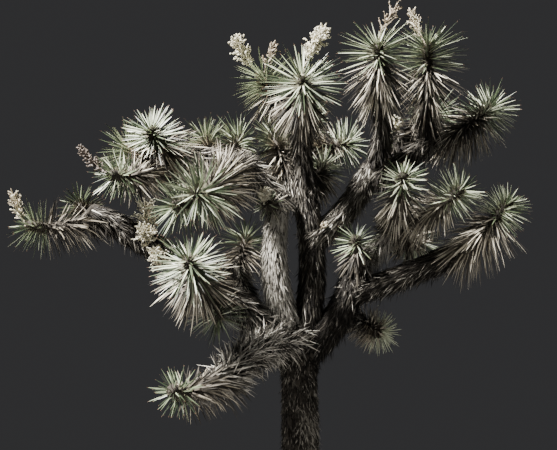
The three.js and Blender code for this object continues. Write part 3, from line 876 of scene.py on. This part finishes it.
leafParts = {  # for the blade's base, darkened as painted shade near the head's core, and its spine
    0: plantMaterial("leaf_base_painted_shade", (0.07, 0.07, 0.045), (0.17, 0.165, 0.11), 8, 120, (0.45, 0.65), 0.0006),
    2: plantMaterial("leaf_spine", (0.09, 0.05, 0.03), (0.20, 0.12, 0.07), 20, 150, (0.4, 0.6), 0.0004),
}
# the dead blade's base: its own dark brown, made darker as painted shade near the skirt's core
deadParts = {
    0: plantMaterial("dead_base_and_painted_shade", (0.05, 0.042, 0.032), (0.12, 0.105, 0.082), 8, 100, (0.7, 0.9), 0.0008),
}
# near black: the bark's own dark brown, made darker as painted shade in the gaps of its coat
barkMaterial = plantMaterial("bark", (0.009, 0.0078, 0.0064), (0.046, 0.04, 0.032), 11, 60, (0.75, 0.95),
                             0.01, shine=0.15, stretch=(1, 1, 0.45))
trees = {
    "living": bladeTree("living_leaves", {"tone": leafMaterials, "part": leafParts}),
    "dead": bladeTree("dead_leaves", {"tone": deadMaterials, "part": deadParts}),
    "coat": bladeTree("coat_leaves", {"tone": coatMaterials}),
}
trees["stick"] = trees["bud"] = bladeTree("flower_parts", {"tone": flowerMaterials})
print("materials made:", len(bpy.data.materials))

headNames = [row[0] for row in headRows]
flowered = [row[0] for row in headRows if row[4]]
limbNames = list(limbs)
allPieces = []


def finishPiece(piece, nodes):
    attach(piece, "root")
    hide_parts(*nodes)
    allPieces.append(piece)


# Leaves and flowers: each piece's field, blade, inputs of the node tree, slot and the solids it replaces
coat = joinFields(coats)
coatThirds = [kept(coat, keep) for keep in np.array_split(np.argsort(coat["root"][:, 0]), 3)]
growths = table("field, blade, Thickness, Bend Power, Roll, Seed, slot, nodes", {
    "living_leaves": (joinFields(living), "living", 0.5, 2.0, 0.35, 3, "leaves", headNames),
    "dead_skirts": (joinFields(dead), "dead", 0.5, 1.8, 0.6, 5, "leaves", headNames),
    "coat_left": (coatThirds[0], "coat", 0.5, 1.6, 0.5, 7, "bark", limbNames),
    "coat_middle": (coatThirds[1], "coat", 0.5, 1.6, 0.5, 7, "bark", limbNames),
    "coat_right": (coatThirds[2], "coat", 0.5, 1.6, 0.5, 7, "bark", limbNames),
    "flower_stalks": (joinFields(sticks), "stick", 1.0, 2.0, 1.0, 9, "leaves", flowered),
    "flowers": (joinFields(buds), "bud", 1.0, 2.0, 3.0, 13, "leaves", flowered),
})
for name, growth in growths.items():
    blade = growth["blade"]
    piece = growBlades(name, growth["field"], trees[blade], {**growth, "Blade": blades[blade]})
    finishPiece(piece, growth["nodes"])
for blade in blades.values():
    bpy.data.objects.remove(blade)

# Bark: a skin of rings along each limb, closed and rounded at its ends, and the relief cut into it. A skin
# that starts further along stands flat on the ground.
rounding = {
    "scales": (0.35, 0.75),  # of the last two rings, outermost first
    "pushes": (1.0, 0.6),  # how far out they are, beside the depth
    "depth": 0.3,  # of the limb's radius at its tip
}


def ringSkin(limb, sides, spacing, firstShare):
    path, flatFoot = limb["path"], firstShare > 0
    count = max(6, int(path["length"] * (1.0 - firstShare) / spacing))
    share = np.linspace(firstShare, 1.0, count)
    scale, push = np.ones(count), np.zeros(count)
    if not flatFoot:
        outer, inner = rounding["scales"]
        far, near = rounding["pushes"]
        share = np.concatenate([[firstShare, firstShare], share, [1.0, 1.0]])
        scale = np.concatenate([[outer, inner], scale, [inner, outer]])
        push = np.concatenate([[-far, -near], push, [near, far]])
    turn = np.arange(sides) * 2 * math.pi / sides
    roundEnd = rounding["depth"] * float(limb["radius"](1.0, 0))
    verts = []
    for s, k, out in zip(share, scale, push):
        outward, along = around(path, np.full(sides, s), turn)
        centre = path["at"](s) + along[0] * out * roundEnd
        verts.append(centre + outward * column(limb["radius"](np.full(sides, s), turn) * k))
    verts = np.concatenate(verts)
    rings = len(share)
    if flatFoot:
        verts[:sides, 2] = 0
    verts = np.vstack([verts, verts[:sides].mean(axis=0), verts[-sides:].mean(axis=0)])
    edges = [(j, (j + 1) % sides) for j in range(sides)]
    last = (rings - 1) * sides
    faces = [(low + j, low + k, low + sides + k, low + sides + j)
             for low in range(0, last, sides) for j, k in edges]
    faces += [(k, j, rings * sides) for j, k in edges]
    faces += [(last + j, last + k, rings * sides + 1) for j, k in edges]
    return verts, faces


def joinedSkin(name, skins):
    faces, count = [], 0
    for skinVerts, skinFaces in skins:
        faces += [[i + count for i in face] for face in skinFaces]
        count += len(skinVerts)
    mesh = bpy.data.meshes.new(name)
    mesh.from_pydata(np.concatenate([skin[0] for skin in skins]).tolist(), [], faces)
    return addObject(name, mesh)


def reliefTree(plateStretch=(1, 1, 0.4), furrowWidth=0.22, roughScale=2.2, outermost=1.3):
    sockets = {"Relief Depth": "Float", "Furrow Scale": "Float", "Bare Height": "Float", "Fineness": "Int",
               "Bark": "Material"}
    group, entry = geometryTree("bark_relief", sockets)
    coarse = {"Mesh": entry["Geometry"], "Level": entry["Fineness"]}
    finer = addNode(group, "GeometryNodeSubdivideMesh", coarse)
    place = addNode(group, "GeometryNodeInputPosition")["Position"]
    normal = addNode(group, "GeometryNodeInputNormal")["Normal"]
    stretched = addNode(group, "ShaderNodeVectorMath", {0: place, 1: plateStretch}, operation="MULTIPLY")
    longer = stretched["Vector"]
    # plates with furrows between them, and roughness over both
    plates = addNode(group, "ShaderNodeTexVoronoi", {"Vector": longer, "Scale": entry["Furrow Scale"]},
                     feature="DISTANCE_TO_EDGE")
    furrow = addNode(group, "ShaderNodeMapRange", {"Value": plates["Distance"], "From Max": furrowWidth})
    finerScale = addMath(group, "MULTIPLY", entry["Furrow Scale"], roughScale)
    rough = addNode(group, "ShaderNodeTexNoise", {"Vector": longer, "Scale": finerScale, "Detail": 4})
    height = addMath(group, "ADD", furrow["Result"], rough["Fac"])
    deep = addMath(group, "MULTIPLY", addMath(group, "SUBTRACT", height, outermost), entry["Relief Depth"])
    # the lowest ring keeps to the ground
    rise = addNode(group, "ShaderNodeSeparateXYZ", {0: place})["Z"]
    aboveFoot = addNode(group, "ShaderNodeMapRange", {"Value": rise, "From Max": entry["Bare Height"]})
    fading = addMath(group, "MULTIPLY", deep, aboveFoot["Result"])
    offset = addNode(group, "ShaderNodeVectorMath", {0: normal, "Scale": fading}, operation="SCALE")
    cut = addNode(group, "GeometryNodeSetPosition", {"Geometry": finer["Mesh"], "Offset": offset["Vector"]})
    soft = addNode(group, "GeometryNodeSetShadeSmooth", {0: cut["Geometry"]})
    paint = addNode(group, "GeometryNodeSetMaterial", {"Geometry": soft[0], "Material": entry["Bark"]})
    addNode(group, "NodeGroupOutput", {"Geometry": paint["Geometry"]})
    return group


# Each bark: sides and spacing of the rings, and the node tree's inputs
barks = table("sides, spacing, Relief Depth, Furrow Scale, Bare Height, Fineness", {
    "trunk_bark": (88, 0.026, 0.03, 21.0, 0.03, 1),
    "bough_bark": (30, 0.03, 0.009, 22.0, 0.03, 1),
    "shoot_bark": (20, 0.024, 0.006, 26.0, 0.03, 0),
})
groundShare = tree["buried"] / (tree["forkHeight"] + tree["buried"])
boughs = [limb for name, limb in limbs.items() if name != "trunk"]
relief = reliefTree()
for (name, bark), wood in zip(barks.items(), ([limbs["trunk"]], boughs, shoots)):
    first = groundShare if name == "trunk_bark" else 0
    piece = joinedSkin(name, [ringSkin(limb, bark["sides"], bark["spacing"], first) for limb in wood])
    runNodes(piece, relief, {**bark, "Bark": barkMaterial})
    finishPiece(piece, headNames if name == "shoot_bark" else limbNames)

# Floor, background and light: a pale disc, an even grey, a key light from the upper left and a soft fill
studio = {
    "floorRadius": 4.4,
    "floor": ((0.18, 0.177, 0.171), (0.21, 0.207, 0.201)),
    "background": (0.034, 0.034, 0.0355),
    "key": {"place": (-6.9, -4.1, 12.2), "size": 1.5, "power": 17000, "colour": (1.0, 0.97, 0.93)},
    "fill": {"place": (5.5, -7.5, 3.5), "size": 5.0, "power": 40, "colour": (0.93, 0.96, 1.0)},
    "aim": (-0.1, 0.0, 2.4),
}
bm = bmesh.new()
bmesh.ops.create_circle(bm, cap_ends=True, radius=studio["floorRadius"], segments=128)
floorMesh = bpy.data.meshes.new("floor")
bm.to_mesh(floorMesh)
bm.free()
floor = addObject("floor", floorMesh)
floorMesh.materials.append(plantMaterial("floor", *studio["floor"], 1.5, 40, (0.8, 0.9), 0.001))
world = bpy.data.worlds.new("world")
bpy.context.scene.world = world
world.use_nodes = True
world.node_tree.nodes["Background"].inputs["Color"].default_value = (*studio["background"], 1)
for name in ("key", "fill"):
    settings = studio[name]
    data = bpy.data.lights.new(name, "AREA")
    data.energy = settings["power"]
    data.size = settings["size"]
    data.color = settings["colour"]
    lamp = addObject(name, data)
    lamp.location = settings["place"]
    aim = Vector(studio["aim"]) - Vector(settings["place"])
    lamp.rotation_euler = aim.to_track_quat("-Z", "Y").to_euler()

print("total triangles:", sum(triangles(piece) for piece in allPieces))
